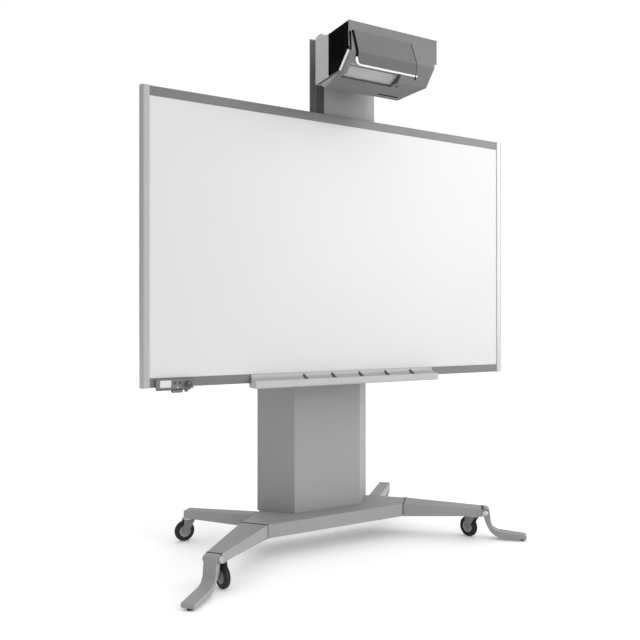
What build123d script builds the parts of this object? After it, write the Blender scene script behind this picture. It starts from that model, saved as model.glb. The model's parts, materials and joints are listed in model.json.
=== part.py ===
"""Rolling electric whiteboard stand with an over-board short-throw projector.

Millimetres, +Z up, X along the board, the viewer on the -Y side.
The origin is on the floor under the middle of the whole stand.
Local helper planes measure Y from the board's front face, at y = BOARD_Y.
"""
from build123d import *
import math
import os

os.makedirs("parts", exist_ok=True)

# ---------------------------------------------------------------- driving dimensions
BOARD_Y = -99.6               # board's front face in the stand's frame

BOARD_W = 1969.0
BOARD_BOTTOM = 828.0
BOARD_TOP = 2069.5
RAIL_H = 39.5                 # visible height of the top and bottom rails
RAIL_D = 25.0
STILE_W = 36.0
STILE_D = 40.0
STILE_OVER = 2.0              # stiles run past the rails by this much
SHEET_Y = (3.0, 5.0)          # writing surface
CORE_Y = (5.0, 22.0)
GROOVE = 7.0                  # how far the panel sits inside rails and stiles

TRAY_HALF = 495.0
TRAY_CAP = 4.0
DIVIDER_TOP = 3.0             # divider's width at its top and at its foot
DIVIDER_FOOT = 18.0
DIVIDER_X = (-238.0, -88.0, 62.0, 212.0, 362.0)

BEAM_Z = (103.0, 166.0)
BEAM_WALL = 4.0
BEAM_FRONT = ((379.0, 78.0), (470.0, 180.0))    # face that carries a front leg
BEAM_REAR = ((368.0, 271.0), (324.0, 312.0))    # face that carries a rear leg
BEAM_BACK = (300.0, 334.0)

LEG_GAP = 3.5                 # shadow gap between beam and leg
LEG_WALL = 4.0
TANG_LEN = 100.0              # reach of a leg's tang inside the beam
FRONT_TANG_W = 104.0
REAR_TANG_W = 44.0
FRONT_LEG_LEN = 397.6
FRONT_LEG_W = (136.7, 72.0)   # root and end width
FRONT_LEG_END_Z = (114.0, 155.0)
REAR_LEG_LEN = 378.0
REAR_LEG_W = 60.0
REAR_LEG_END_Z = (114.0, 153.0)

WHEEL_D = 100.0
WHEEL_W = 26.0
HUB_D = 56.0
TRAIL = 24.0                  # wheel axle behind the swivel axis
CROWN_Z = (103.0, 109.0)
STEM_FLANGE_TOP = 114.0
AXLE_R = 4.0
STEM_R = 6.0
RUN_GAP = 0.05                # radial running clearance

PIVOT_OUT = 14.0              # foot pivot beyond the leg's end
PIVOT_Z = 135.0
FOOT_HUB_R = 22.0
FOOT_W = 59.0
LUG_T = 6.0
LUG_R = 16.0
PAD_OUT = 195.0               # pad centre beyond the leg's end
PAD_R = 12.5
PAD_H = 15.0                  # the top of it sits in the foot's underside

COLUMN_FRONT = (187.5, 186.0)
COLUMN_BACK = (319.0, 333.0)
COLUMN_T = 2.0
COLUMN_TOP = 1180.0
LIFT_Y = 258.0
LIFT_OUTER = (160.0, 110.0)
LIFT_INNER = (148.0, 98.0)
LIFT_WALL = 4.0
LIFT_OUTER_TOP = 1165.0
LIFT_INNER_Z = (520.0, 1500.0)
SPINDLE_R = 10.0
JOURNAL_R = 7.0

MAST_FACE_X = 111.0
MAST_HALF = 180.0
MAST_BACK_X = 138.0
MAST_Y = (28.0, 42.0, 47.0, 110.0)  # face, wing's edge, back
MAST_Z = (980.0, 2418.0)
MAST_WALL = 2.0
MAST_CAP_H = 6.0

PROJ_HALF = 218.0
VENT_T = 10.0
PROJ_WALL = 3.0
PROJ_TOP = 2346.0
PROJ_FRONT = -384.0
PROJ_BEND_Z = 2222.0
PROJ_CHIN = (-323.0, 2151.0)  # lower front edge
PROJ_TAIL = (-126.0, 2146.0)  # lower rear edge
PROJ_TAIL_IN = 24.0           # how much narrower the body's underside is at the tail
PROJ_SPLIT_Y = -215.0         # hood meets the rear cover
PROJ_REAR = -98.0
WINDOW_X = (-196.0, 62.0)
DOOR_T = 5.0


# ---------------------------------------------------------------- helpers
def level(z):
    """Horizontal plane at height z, Y measured from the board's front."""
    return Plane((0, BOARD_Y, z))


def section(x=0.0):
    """Plane across the stand at x: local axes are Y from the board, and Z."""
    return Plane((x, BOARD_Y, 0), x_dir=(0, 1, 0), z_dir=(1, 0, 0))


def facing(y=0.0):
    """Upright plane at y from the board: local axes are X and Z, out is -Y."""
    return Plane((0, BOARD_Y + y, 0), x_dir=(1, 0, 0), z_dir=(0, -1, 0))


def block(xs, ys, zs, mode=Mode.ADD):
    """Box between limits, added to or cut from the part being built."""
    middle = ((xs[0] + xs[1]) / 2, BOARD_Y + (ys[0] + ys[1]) / 2, (zs[0] + zs[1]) / 2)
    with Locations(middle):
        Box(xs[1] - xs[0], ys[1] - ys[0], zs[1] - zs[0], mode=mode)


def prism(plane, points, amount, both=False):
    """Solid with a straight-sided outline."""
    with BuildPart() as solid:
        with BuildSketch(plane):
            with BuildLine():
                Polyline(*points, close=True)
            make_face()
        extrude(amount=amount, both=both)
    return solid.part


def save(part, label):
    """Label a finished piece and write it as its own node."""
    part.label = label
    export_step(part, f"parts/{label}.step")


def save_pair(right, label):
    """Write a right-hand piece and its mirrored left-hand twin."""
    save(right, f"{label}_right")
    save(mirror(right, about=Plane.YZ), f"{label}_left")


def mirrored(points):
    """Outline given from the front to the back at +X, continued at -X."""
    return list(points) + [(-x, y) for x, y in reversed(points)]


class Arm:
    """Frame of a right-hand leg: u runs outwards, v across it."""

    def __init__(self, face):
        start, end = Vector(*face[0]), Vector(*face[1])
        self.root = (start + end) / 2
        self.v = (end - start).normalized()
        self.u = Vector(self.v.Y, -self.v.X)

    def at(self, u, v=0.0):
        """Point along the leg in the stand's frame, as x and y."""
        point = self.root + self.u * u + self.v * v
        return point.X, point.Y + BOARD_Y

    def flat(self, u, z):
        """Horizontal plane with its local x along u and local y along v."""
        x, y = self.at(u)
        return Plane((x, y, z), x_dir=(self.u.X, self.u.Y, 0), z_dir=(0, 0, 1))

    def side(self, u=0.0, v=0.0):
        """Upright plane with local axes u and z, whose normal is -v."""
        x, y = self.at(u, v)
        return Plane((x, y, 0), x_dir=(self.u.X, self.u.Y, 0), z_dir=(-self.v.X, -self.v.Y, 0))


FRONT_ARM = Arm(BEAM_FRONT)
REAR_ARM = Arm(BEAM_REAR)


# ---------------------------------------------------------------- base beam and legs
def tang_outline(width):
    """Plan of a leg's tang, from inside the beam to the leg's root."""
    return [(-TANG_LEN, -width / 2), (LEG_GAP, -width / 2), (LEG_GAP, width / 2), (-TANG_LEN, width / 2)]


def tang_passage(arm, width):
    """Space that a tang takes in the beam, open below."""
    height = BEAM_Z[1] - BEAM_WALL - BEAM_Z[0]
    return prism(arm.flat(0, BEAM_Z[0]), tang_outline(width), height)


front_passage = tang_passage(FRONT_ARM, FRONT_TANG_W)
rear_passage = tang_passage(REAR_ARM, REAR_TANG_W)
beam_outline = mirrored([*BEAM_FRONT, *BEAM_REAR, BEAM_BACK])
with BuildPart() as base_beam:
    with BuildSketch(level(BEAM_Z[0])):
        with BuildLine():
            Polyline(*beam_outline, close=True)
        make_face()
    extrude(amount=BEAM_Z[1] - BEAM_Z[0])
    chamfer(base_beam.faces().sort_by(Axis.Z)[-1].edges(), 1.5)
    with BuildSketch(level(BEAM_Z[0])):
        with BuildLine():
            Polyline(*beam_outline, close=True)
        make_face()
        offset(amount=-BEAM_WALL, mode=Mode.REPLACE)
    extrude(amount=BEAM_Z[1] - BEAM_Z[0] - BEAM_WALL, mode=Mode.SUBTRACT)
    for passage in (front_passage, rear_passage):
        add(passage, mode=Mode.SUBTRACT)
        add(mirror(passage, about=Plane.YZ), mode=Mode.SUBTRACT)
save(base_beam.part, "base_beam")


def leg(arm, length, root_w, end_w, end_z, tang_w, boss):
    """Cast leg, open below, with its tang and a solid boss for the caster."""
    with BuildPart() as casting:
        with BuildSketch(arm.flat(0, BEAM_Z[0])):
            with BuildLine():
                Polyline((LEG_GAP, -root_w / 2), (length, -end_w / 2), (length, end_w / 2),
                         (LEG_GAP, root_w / 2), close=True)
            make_face()
        extrude(amount=BEAM_Z[1] - BEAM_Z[0])
        with BuildSketch(arm.side()):
            with BuildLine():
                Polyline((-1, BEAM_Z[1]), (length + 1, end_z[1]), (length + 1, BEAM_Z[1] + 1),
                         (-1, BEAM_Z[1] + 1), close=True)
            make_face()
            with BuildLine():
                Polyline((LEG_GAP, BEAM_Z[0] - 1), (length + 1, BEAM_Z[0] - 1),
                         (length + 1, end_z[0]), (length - boss, end_z[0]), (LEG_GAP, BEAM_Z[0]),
                         close=True)
            make_face()
        extrude(amount=root_w, both=True, mode=Mode.SUBTRACT)
        fillet(casting.faces().filter_by(Axis.Z, reverse=True).sort_by(Axis.Z)[-1].edges(), 2.5)
        with BuildSketch(arm.flat(0, BEAM_Z[0])):
            with BuildLine():
                Polyline(*tang_outline(tang_w), close=True)
            make_face()
        extrude(amount=BEAM_Z[1] - BEAM_WALL - BEAM_Z[0])
        root_in = tang_w / 2 - LEG_WALL
        end_in = end_w / 2 - LEG_WALL
        with BuildSketch(arm.flat(0, BEAM_Z[0])):
            with BuildLine():
                Polyline((LEG_WALL - TANG_LEN, -root_in), (LEG_WALL, -root_in),
                         (length - boss, -end_in), (length - boss, end_in),
                         (LEG_WALL, root_in), (LEG_WALL - TANG_LEN, root_in), close=True)
            make_face()
        extrude(amount=end_z[1] - LEG_WALL - 3 - BEAM_Z[0], mode=Mode.SUBTRACT)
    return casting.part


FRONT_CASTER_U = FRONT_LEG_LEN - 50.0
REAR_CASTER_U = REAR_LEG_LEN - 14.0
STEM_DEPTH = 26.0


def stem_hole(arm, u, end_z):
    """Blind hole for a caster's stem."""
    with BuildPart() as hole:
        with BuildSketch(arm.flat(u, end_z)):
            Circle(STEM_R)
        extrude(amount=STEM_DEPTH)
    return hole.part


def pivot_shape(radius, half_width, v=0.0):
    """Cylinder about the foot's pivot on the front leg."""
    with BuildPart() as barrel:
        with BuildSketch(FRONT_ARM.side(v=v)):
            with Locations((FRONT_LEG_LEN + PIVOT_OUT, PIVOT_Z)):
                Circle(radius)
        extrude(amount=half_width, both=True)
    return barrel.part


BOLT_R = 6.0
LUG_MID = FRONT_LEG_W[1] / 2 - LUG_T / 2
front_leg_blank = leg(FRONT_ARM, FRONT_LEG_LEN, *FRONT_LEG_W, FRONT_LEG_END_Z, FRONT_TANG_W, 100.0)
with BuildPart() as front_leg:
    add(front_leg_blank)
    add(stem_hole(FRONT_ARM, FRONT_CASTER_U, FRONT_LEG_END_Z[0]), mode=Mode.SUBTRACT)
    for lug_v in (-LUG_MID, LUG_MID):
        with BuildSketch(FRONT_ARM.side(v=lug_v)):
            with Locations((FRONT_LEG_LEN + PIVOT_OUT, PIVOT_Z)):
                Circle(LUG_R)
            with Locations((FRONT_LEG_LEN, PIVOT_Z)):
                Rectangle(2 * PIVOT_OUT, 2 * LUG_R)
        extrude(amount=LUG_T / 2, both=True)
    add(pivot_shape(FOOT_HUB_R + 1.5, FRONT_LEG_W[1] / 2 - LUG_T), mode=Mode.SUBTRACT)
    add(pivot_shape(BOLT_R, FRONT_LEG_W[1]), mode=Mode.SUBTRACT)
save_pair(front_leg.part, "front_leg")

rear_leg_blank = leg(REAR_ARM, REAR_LEG_LEN, REAR_LEG_W, REAR_LEG_W, REAR_LEG_END_Z, REAR_TANG_W, 60.0)
with BuildPart() as rear_leg:
    add(rear_leg_blank)
    add(stem_hole(REAR_ARM, REAR_CASTER_U, REAR_LEG_END_Z[0]), mode=Mode.SUBTRACT)
save_pair(rear_leg.part, "rear_leg")


# ---------------------------------------------------------------- leg bolts, one group
LEG_BOLT_HEAD = 6.0
with BuildPart() as leg_bolts:
    bolt_spots = [FRONT_ARM.at(u, v) for u in (-80, -30) for v in (-49, 49)]
    bolt_spots += [REAR_ARM.at(u, v) for u in (-80, -30) for v in (-19, 19)]
    for x, y in bolt_spots + [(-x, y) for x, y in bolt_spots]:
        with BuildSketch(Plane((x, y, BEAM_Z[0]))):
            RegularPolygon(radius=5.0, side_count=6)
        extrude(amount=-LEG_BOLT_HEAD)
save(leg_bolts.part, "leg_bolts")


# ---------------------------------------------------------------- anti-tip feet
def foot():
    """Curved arm from the pivot down to the floor, as seen from the leg's side."""
    with BuildPart() as arm:
        with BuildSketch(FRONT_ARM.side(FRONT_LEG_LEN)):
            with BuildLine():
                Line((PIVOT_OUT + FOOT_HUB_R, PIVOT_Z), (42, 84))
                TangentArc((42, 84), (86, 41), tangent=(6, -51))
                Line((86, 41), (214, 29))
                Line((214, 29), (214, 11))
                Line((214, 11), (104, 11))
                ThreePointArc((104, 11), (67, 19), (40, 40))
                ThreePointArc((40, 40), (20, 74), (6, 116))
                Line((6, 116), (PIVOT_OUT, PIVOT_Z))
                Line((PIVOT_OUT, PIVOT_Z), (PIVOT_OUT + FOOT_HUB_R, PIVOT_Z))
            make_face()
            with Locations((PIVOT_OUT, PIVOT_Z)):
                Circle(FOOT_HUB_R)
        extrude(amount=FOOT_W / 2, both=True)
        add(pivot_shape(BOLT_R + RUN_GAP, FOOT_W), mode=Mode.SUBTRACT)
        with BuildSketch(FRONT_ARM.flat(FRONT_LEG_LEN + PAD_OUT, 0)):
            Circle(PAD_R)
        extrude(amount=PAD_H, mode=Mode.SUBTRACT)
    return arm.part


save_pair(foot(), "foot_arm")

with BuildPart() as foot_pad:
    with BuildSketch(FRONT_ARM.flat(FRONT_LEG_LEN + PAD_OUT, 0)):
        Circle(PAD_R)
    extrude(amount=PAD_H)
save_pair(foot_pad.part, "foot_pad")

BOLT_HEAD_R = 13.5
BOLT_HEAD_T = 8.0
with BuildPart() as foot_bolt:
    pivot_at = (FRONT_LEG_LEN + PIVOT_OUT, PIVOT_Z)
    with BuildSketch(FRONT_ARM.side(v=-FRONT_LEG_W[1] / 2)):
        with Locations(pivot_at):
            Circle(BOLT_R)
    extrude(amount=-FRONT_LEG_W[1])
    with BuildSketch(FRONT_ARM.side(v=-FRONT_LEG_W[1] / 2)):
        with Locations(pivot_at):
            Circle(BOLT_HEAD_R)
    extrude(amount=BOLT_HEAD_T)
    chamfer(foot_bolt.edges().filter_by(GeomType.CIRCLE).sort_by(SortBy.RADIUS)[-1], 1)
    with BuildSketch(FRONT_ARM.side(v=FRONT_LEG_W[1] / 2)):
        with Locations(pivot_at):
            RegularPolygon(radius=10.0, side_count=6)
    extrude(amount=-6.0)
with BuildPart() as foot_bolts:
    add(foot_bolt.part)
    add(mirror(foot_bolt.part, about=Plane.YZ))
save(foot_bolts.part, "foot_pivot_bolts")


# ---------------------------------------------------------------- casters
def caster_frame(x, y, heading):
    """Upright plane through a caster's swivel axis, its local x along the trail."""
    turn = math.radians(heading)
    return Plane((x, y, 0), x_dir=(math.cos(turn), math.sin(turn), 0),
                 z_dir=(math.sin(turn), -math.cos(turn), 0))


def caster_disc(frame, radius, width, bore):
    """Wheel-shaped ring on the caster's axle."""
    with BuildPart() as disc:
        with BuildSketch(frame):
            with Locations((TRAIL, WHEEL_D / 2)):
                Circle(radius)
                Circle(bore, mode=Mode.SUBTRACT)
        extrude(amount=width / 2, both=True)
    return disc.part


FORK_IN = 16.0
FORK_T = 4.0
FORK_EYE_R = 14.0
CROWN_R = 29.0
AXLE_HEAD_R = 8.0
AXLE_HEAD_T = 4.0
PIN_R = 5.0


def caster_fork(frame):
    """Crown with two tapering cheeks, and the axle bolt through their eyes."""
    base = Plane(frame.origin, x_dir=frame.x_dir, z_dir=(0, 0, 1))
    with BuildPart() as fork:
        with BuildSketch(base.offset(CROWN_Z[0])):
            Circle(CROWN_R)
            Rectangle(CROWN_R, 2 * (FORK_IN + FORK_T))
        extrude(amount=CROWN_Z[1] - CROWN_Z[0])
        for side in (-1, 1):
            cheek = frame.offset(side * (FORK_IN + FORK_T / 2))
            with BuildSketch(cheek):
                with BuildLine():
                    Polyline((-CROWN_R, CROWN_Z[1]), (CROWN_R, CROWN_Z[1]), (TRAIL + 13.6, WHEEL_D / 2 + 3),
                             (TRAIL - 13.4, WHEEL_D / 2 - 4), close=True)
                make_face()
                with Locations((TRAIL, WHEEL_D / 2)):
                    Circle(FORK_EYE_R)
                    Circle(AXLE_R, mode=Mode.SUBTRACT)
            extrude(amount=FORK_T / 2, both=True)
        with BuildSketch(base.offset(CROWN_Z[0])):
            Circle(PIN_R + RUN_GAP)
        extrude(amount=CROWN_Z[1] - CROWN_Z[0], mode=Mode.SUBTRACT)
    outer = FORK_IN + FORK_T
    with BuildPart() as axle:
        with BuildSketch(frame):
            with Locations((TRAIL, WHEEL_D / 2)):
                Circle(AXLE_R)
        extrude(amount=outer, both=True)
        for side in (-1, 1):
            with BuildSketch(frame.offset(side * (outer + AXLE_HEAD_T / 2))):
                with Locations((TRAIL, WHEEL_D / 2)):
                    Circle(AXLE_HEAD_R)
            extrude(amount=AXLE_HEAD_T / 2, both=True)
    return Compound([fork.part, axle.part])


def mirrored_spot(point, side):
    """Right-hand point, or its mirror image at -X."""
    return side * point[0], point[1]


CASTERS = {
    "front_left": (*mirrored_spot(FRONT_ARM.at(FRONT_CASTER_U), -1), -82.0),
    "front_right": (*FRONT_ARM.at(FRONT_CASTER_U), 99.0),
    "rear_left": (*mirrored_spot(REAR_ARM.at(REAR_CASTER_U), -1), 182.0),
    "rear_right": (*REAR_ARM.at(REAR_CASTER_U), 200.0),
}
for corner, (x, y, heading) in CASTERS.items():
    frame = caster_frame(x, y, heading)
    save(caster_fork(frame), f"caster_fork_{corner}")
    save(caster_disc(frame, HUB_D / 2, WHEEL_W - 2, AXLE_R + RUN_GAP), f"wheel_hub_{corner}")
    with BuildPart() as tyre:
        add(caster_disc(frame, WHEEL_D / 2, WHEEL_W, HUB_D / 2))
        rims = tyre.edges().filter_by(GeomType.CIRCLE).group_by(SortBy.RADIUS)[-1]
        fillet(rims, 5)
    save(tyre.part, f"tyre_{corner}")

with BuildPart() as caster_stems:
    for x, y, heading in CASTERS.values():
        with Locations((x, y, 0)):
            with Locations((0, 0, CROWN_Z[0] - 1)):
                Cylinder(PIN_R, STEM_FLANGE_TOP - CROWN_Z[0] + 1,
                         align=(Align.CENTER, Align.CENTER, Align.MIN))
            with Locations((0, 0, CROWN_Z[1])):
                Cylinder(CROWN_R, STEM_FLANGE_TOP - CROWN_Z[1],
                         align=(Align.CENTER, Align.CENTER, Align.MIN))
            with Locations((0, 0, STEM_FLANGE_TOP)):
                Cylinder(STEM_R, STEM_DEPTH, align=(Align.CENTER, Align.CENTER, Align.MIN))
save(caster_stems.part, "caster_stems")


# ---------------------------------------------------------------- column and lift
column_outline = mirrored([COLUMN_FRONT, COLUMN_BACK])
BACK_Y = COLUMN_BACK[1]
with BuildPart() as column_ring:
    with BuildSketch(level(BEAM_Z[1])):
        with BuildLine():
            Polyline(*column_outline, close=True)
        make_face()
    extrude(amount=COLUMN_TOP - BEAM_Z[1])
    with BuildSketch(level(BEAM_Z[1])):
        with BuildLine():
            Polyline(*column_outline, close=True)
        make_face()
        offset(amount=-COLUMN_T, mode=Mode.REPLACE)
    extrude(amount=COLUMN_TOP - BEAM_Z[1], mode=Mode.SUBTRACT)

back_gap_x = COLUMN_BACK[0] + 1
with BuildPart() as column_cover:
    add(column_ring.part)
    block((-back_gap_x, back_gap_x), (BACK_Y - COLUMN_T, BACK_Y + 1), (0, COLUMN_TOP + 1),
          mode=Mode.SUBTRACT)
save(column_cover.part, "column_cover")

with BuildPart() as column_back_panel:
    add(column_ring.part)
    block((-back_gap_x, back_gap_x), (0, BACK_Y - COLUMN_T), (0, COLUMN_TOP + 1), mode=Mode.SUBTRACT)
    for row in range(8):
        slot_z = 260 + 14 * row
        block((-150, 150), (BACK_Y - COLUMN_T, BACK_Y), (slot_z, slot_z + 6), mode=Mode.SUBTRACT)
save(column_back_panel.part, "column_back_panel")


def lift_tube(size, z0, z1, wall):
    """Rectangular tube on the lift's axis."""
    with BuildPart() as tube:
        with BuildSketch(level(z0)):
            with Locations((0, LIFT_Y)):
                RectangleRounded(*size, 8)
                RectangleRounded(size[0] - 2 * wall, size[1] - 2 * wall, 4, mode=Mode.SUBTRACT)
        extrude(amount=z1 - z0)
    return tube.part


CAP_T = 8.0
with BuildPart() as column_top_cap:
    with BuildSketch(level(COLUMN_TOP)):
        with BuildLine():
            Polyline(*column_outline, close=True)
        make_face()
        with Locations((0, LIFT_Y)):
            RectangleRounded(LIFT_INNER[0] + 6, LIFT_INNER[1] + 6, 10, mode=Mode.SUBTRACT)
    extrude(amount=CAP_T)
    chamfer(column_top_cap.faces().sort_by(Axis.Z)[-1].outer_wire().edges(), 1.5)
save(column_top_cap.part, "column_top_cap")

FLANGE_T = 8.0
with BuildPart() as lift_outer_column:
    add(lift_tube(LIFT_OUTER, BEAM_Z[1], LIFT_OUTER_TOP, LIFT_WALL))
    with BuildSketch(level(BEAM_Z[1])):
        with Locations((0, LIFT_Y)):
            Rectangle(LIFT_OUTER[0] + 100, LIFT_OUTER[1] + 16)
            RectangleRounded(LIFT_OUTER[0] - 2 * LIFT_WALL, LIFT_OUTER[1] - 2 * LIFT_WALL, 4,
                             mode=Mode.SUBTRACT)
            with GridLocations(LIFT_OUTER[0] + 70, LIFT_OUTER[1] - 30, 2, 2):
                Circle(5.5, mode=Mode.SUBTRACT)
    extrude(amount=FLANGE_T)
save(lift_outer_column.part, "lift_outer_column")

NUT_R = 20.0
NUT_H = 40.0
PLATE_T = 10.0
with BuildPart() as lift_inner_column:
    add(lift_tube(LIFT_INNER, *LIFT_INNER_Z, LIFT_WALL))
    for z in (LIFT_INNER_Z[0], LIFT_INNER_Z[1] - PLATE_T):
        with BuildSketch(level(z)):
            with Locations((0, LIFT_Y)):
                RectangleRounded(LIFT_INNER[0] - LIFT_WALL, LIFT_INNER[1] - LIFT_WALL, 6)
                if z == LIFT_INNER_Z[0]:
                    Circle(NUT_R, mode=Mode.SUBTRACT)
        extrude(amount=PLATE_T)
save(lift_inner_column.part, "lift_inner_column")

SPINDLE_Z = (300.0, 1120.0)
JOURNAL_H = 20.0
with BuildPart() as spindle_nut:
    with BuildSketch(level(LIFT_INNER_Z[0])):
        with Locations((0, LIFT_Y)):
            Circle(NUT_R)
            Circle(SPINDLE_R + RUN_GAP, mode=Mode.SUBTRACT)
    extrude(amount=NUT_H)
save(spindle_nut.part, "spindle_nut")

with BuildPart() as lift_spindle:
    with BuildSketch(level(SPINDLE_Z[0])):
        with Locations((0, LIFT_Y)):
            Circle(SPINDLE_R)
    extrude(amount=SPINDLE_Z[1] - SPINDLE_Z[0])
    with BuildSketch(level(SPINDLE_Z[0])):
        with Locations((0, LIFT_Y)):
            Circle(JOURNAL_R)
    extrude(amount=-JOURNAL_H)
save(lift_spindle.part, "lift_spindle")

MOTOR_R = 42.0
with BuildPart() as lift_motor:
    with BuildSketch(level(BEAM_Z[1])):
        with Locations((0, LIFT_Y)):
            Circle(MOTOR_R)
    extrude(amount=SPINDLE_Z[0] - BEAM_Z[1] - 30)
    with BuildSketch(level(SPINDLE_Z[0] - 30)):
        with Locations((0, LIFT_Y)):
            Circle(26)
    extrude(amount=29.5)
    with BuildSketch(level(SPINDLE_Z[0] - JOURNAL_H - 5)):
        with Locations((0, LIFT_Y)):
            Circle(JOURNAL_R + RUN_GAP)
    extrude(amount=JOURNAL_H + 5, mode=Mode.SUBTRACT)
save(lift_motor.part, "lift_motor")


# ---------------------------------------------------------------- mast and carriage
mast_outline = mirrored([(MAST_FACE_X, MAST_Y[0]), (MAST_HALF, MAST_Y[1]), (MAST_HALF, MAST_Y[2]),
                         (MAST_BACK_X, MAST_Y[3])])
with BuildPart() as mast_ring:
    with BuildSketch(level(MAST_Z[0])):
        with BuildLine():
            Polyline(*mast_outline, close=True)
        make_face()
    extrude(amount=MAST_Z[1] - MAST_Z[0])
    with BuildSketch(level(MAST_Z[0])):
        with BuildLine():
            Polyline(*mast_outline, close=True)
        make_face()
        offset(amount=-MAST_WALL, mode=Mode.REPLACE)
    extrude(amount=MAST_Z[1] - MAST_Z[0], mode=Mode.SUBTRACT)

mast_back = MAST_Y[3] - MAST_WALL
with BuildPart() as mast_front_shell:
    add(mast_ring.part)
    block((-MAST_HALF, MAST_HALF), (mast_back, MAST_Y[3]), MAST_Z, mode=Mode.SUBTRACT)
save(mast_front_shell.part, "mast_front_shell")

with BuildPart() as mast_back_cover:
    add(mast_ring.part)
    block((-MAST_HALF, MAST_HALF), (0, mast_back), MAST_Z, mode=Mode.SUBTRACT)
save(mast_back_cover.part, "mast_back_cover")

with BuildPart() as mast_top_cap:
    with BuildSketch(level(MAST_Z[1])):
        with BuildLine():
            Polyline(*mast_outline, close=True)
        make_face()
    extrude(amount=MAST_CAP_H)
    chamfer(mast_top_cap.faces().sort_by(Axis.Z)[-1].edges(), 1.5)
save(mast_top_cap.part, "mast_top_cap")

ARM_Z = (1380.0, 1490.0)
CARRIAGE_PLATE_T = 8.0
lift_face = LIFT_Y - LIFT_INNER[1] / 2
with BuildPart() as carriage_bracket:
    plate_back = MAST_Y[3] + CARRIAGE_PLATE_T
    block((-130, 130), (MAST_Y[3], plate_back), (ARM_Z[0] - 60, ARM_Z[1] + 60))
    block((-65, 65), (plate_back, lift_face), ARM_Z)
    block((-59, 59), (MAST_Y[3], lift_face), (ARM_Z[0] + 6, ARM_Z[1] - 6), mode=Mode.SUBTRACT)
save(carriage_bracket.part, "carriage_bracket")

CROSS_RAIL_Z = (1110.0, 1790.0)
CROSS_RAIL_Y = (MAST_Y[3], MAST_Y[3] + 26.0)
CROSS_RAIL_X = 560.0
CROSS_RAIL_H = 25.0
CROSS_WALL = 3.0
STANDOFF_W = 80.0
with BuildPart() as board_brackets:
    for z in CROSS_RAIL_Z:
        wall_z = (z - CROSS_RAIL_H, z + CROSS_RAIL_H)
        hollow_z = (z - CROSS_RAIL_H + CROSS_WALL, z + CROSS_RAIL_H - CROSS_WALL)
        block((-CROSS_RAIL_X, CROSS_RAIL_X), CROSS_RAIL_Y, wall_z)
        for x in (-CROSS_RAIL_X, CROSS_RAIL_X - STANDOFF_W):
            block((x, x + STANDOFF_W), (CORE_Y[1], CROSS_RAIL_Y[0]), wall_z)
            block((x + CROSS_WALL, x + STANDOFF_W - CROSS_WALL), (CORE_Y[1] + CROSS_WALL, CROSS_RAIL_Y[0]),
                  (wall_z[0], hollow_z[1]), mode=Mode.SUBTRACT)
        block((-CROSS_RAIL_X, CROSS_RAIL_X),
              (CROSS_RAIL_Y[0] + CROSS_WALL, CROSS_RAIL_Y[1] - CROSS_WALL), hollow_z, mode=Mode.SUBTRACT)
save(board_brackets.part, "board_brackets")


# ---------------------------------------------------------------- whiteboard
inner_x = BOARD_W / 2 - STILE_W
panel_x = inner_x + GROOVE
panel_z = (BOARD_BOTTOM + RAIL_H - GROOVE, BOARD_TOP - RAIL_H + GROOVE)
for label, depth in (("writing_surface", SHEET_Y), ("board_core", CORE_Y)):
    with BuildPart() as sheet:
        block((-panel_x, panel_x), depth, panel_z)
    save(sheet.part, label)

for label, rail_z, groove_z in (
    ("bottom_rail", (BOARD_BOTTOM, BOARD_BOTTOM + RAIL_H), (panel_z[0], BOARD_BOTTOM + RAIL_H + 1)),
    ("top_rail", (BOARD_TOP - RAIL_H, BOARD_TOP), (BOARD_TOP - RAIL_H - 1, panel_z[1])),
):
    with BuildPart() as rail:
        block((-inner_x, inner_x), (0, RAIL_D), rail_z)
        chamfer(rail.edges().filter_by(Axis.X), 1)
        block((-inner_x - 1, inner_x + 1), (SHEET_Y[0], CORE_Y[1]), groove_z, mode=Mode.SUBTRACT)
    save(rail.part, label)

STILE_ROUND = 14.0
stile_z = (BOARD_BOTTOM - STILE_OVER, BOARD_TOP + STILE_OVER)
with BuildPart() as stile:
    with BuildSketch(level(stile_z[0])):
        with Locations(((inner_x + BOARD_W / 2) / 2, STILE_D / 2)):
            profile = Rectangle(STILE_W, STILE_D)
        fillet(profile.vertices().group_by(Axis.X)[-1], STILE_ROUND)
    extrude(amount=stile_z[1] - stile_z[0])
    block((inner_x - 1, panel_x), (SHEET_Y[0], CORE_Y[1]), panel_z, mode=Mode.SUBTRACT)
save_pair(stile.part, "side_stile")


# ---------------------------------------------------------------- pen tray
SCOOP = [(-4.0, 867.0), (-10.0, 852.0), (-30.0, 841.0), (-48.0, 838.0), (-53.0, 841.0)]
tray_outline = [(0, 867), *SCOOP, (-57, 841), (-57, 811), (-53, 807), (16, 807), (22, 813),
                (22, BOARD_BOTTOM), (0, BOARD_BOTTOM)]
tray_chamber = [(-54, 812), (-54, 833), (-30, 836), (-5, 848), (-3, 825), (19, 825), (19, 814), (14, 810),
                (-52, 810)]
with BuildPart() as pen_tray:
    add(prism(section(), tray_outline, TRAY_HALF, both=True))
    add(prism(section(), tray_chamber, TRAY_HALF + 1, both=True), mode=Mode.SUBTRACT)
save(pen_tray.part, "pen_tray")

with BuildPart() as tray_end_caps:
    for x in (TRAY_HALF, -TRAY_HALF - TRAY_CAP):
        add(prism(section(x), tray_outline, TRAY_CAP))
save(tray_end_caps.part, "tray_end_caps")

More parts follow.
